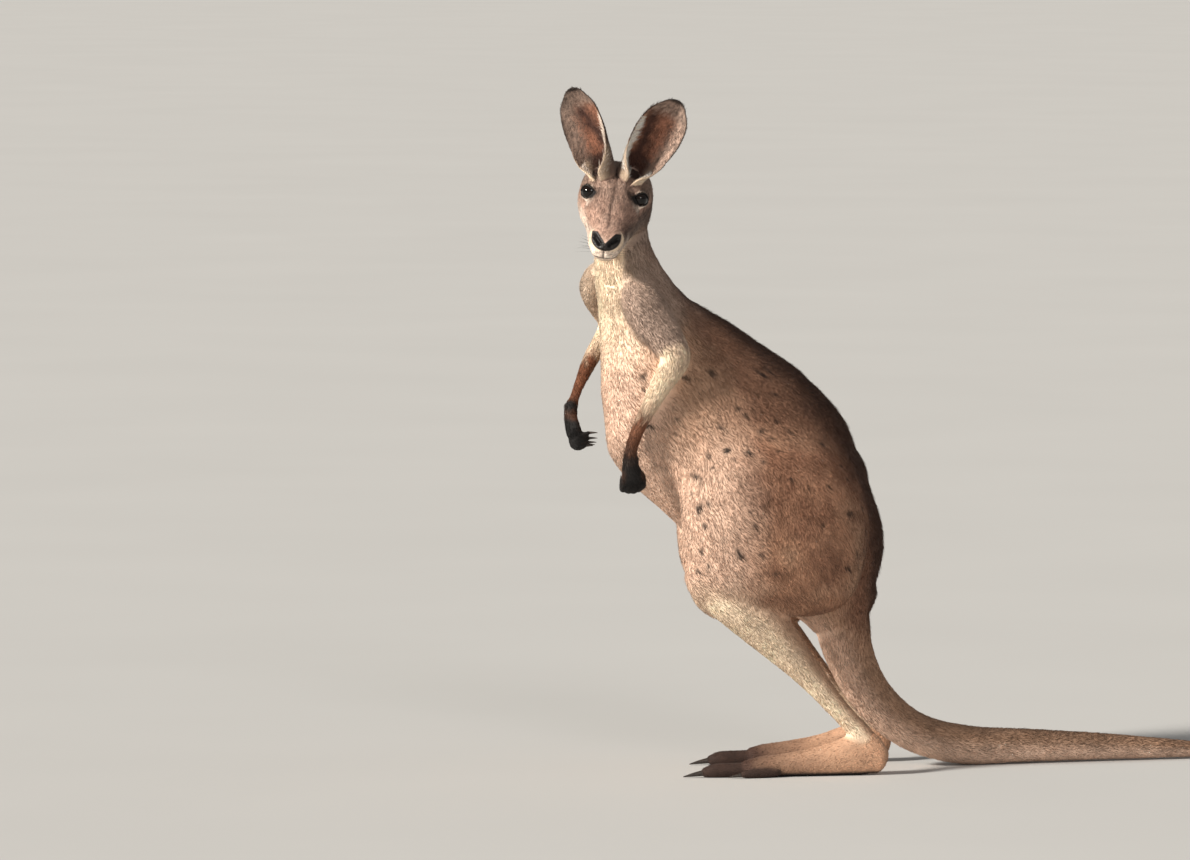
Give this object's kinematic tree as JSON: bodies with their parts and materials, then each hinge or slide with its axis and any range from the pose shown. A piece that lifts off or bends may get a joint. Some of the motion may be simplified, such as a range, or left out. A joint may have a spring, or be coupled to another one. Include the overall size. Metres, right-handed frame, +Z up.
{
  "type": "kangaroo",
  "caption": "Life-size still model of an adult kangaroo standing on both hind feet and its tail, arms hanging, head turned to look sideways.",
  "frame": {"origin": "on the floor under the middle of the bounding box, with the soles and the tail at z = 0", "axes": "+Z up, -Y the way the hips face, +Y the way the tail lies, +X to the animal's left, the side the head is turned to"},
  "size_m": [0.349, 1.1508, 1.0944],
  "materials": {
    "coat": "short dense fur, pinkish grey-brown, darker along the back, cream on the chest and inner arms",
    "face": "very short fur, grey-brown with pale cheeks, bare dark nose",
    "ear": "thin short fur, reddish brown inside with dark rims and pale fringe",
    "paw": "short dark fur over dark skin",
    "claw": "dark satin horn",
    "eye": "wet dark brown eye with a black pupil"
  },
  "bodies": {
    "root": {"ear_left": "ear", "ear_right": "ear", "eye_left": "eye", "eye_right": "eye", "finger_claw_left_1": "claw", "finger_claw_left_2": "claw", "finger_claw_left_3": "claw", "finger_claw_left_4": "claw", "finger_claw_left_5": "claw", "finger_claw_right_1": "claw", "finger_claw_right_2": "claw", "finger_claw_right_3": "claw", "finger_claw_right_4": "claw", "finger_claw_right_5": "claw", "foot_left": "paw", "foot_right": "paw", "forearm_left": "coat", "forearm_right": "coat", "hand_left": "paw", "hand_right": "paw", "head": "face", "neck": "coat", "shank_left": "coat", "shank_right": "coat", "tail_middle": "coat", "tail_root": "coat", "tail_tip": "coat", "thigh_left": "coat", "thigh_right": "coat", "toe_claw_left_1": "claw", "toe_claw_left_2": "claw", "toe_claw_left_3": "claw", "toe_claw_right_1": "claw", "toe_claw_right_2": "claw", "toe_claw_right_3": "claw", "trunk": "coat", "upper_arm_left": "coat", "upper_arm_right": "coat"}
  },
  "joints": []
}
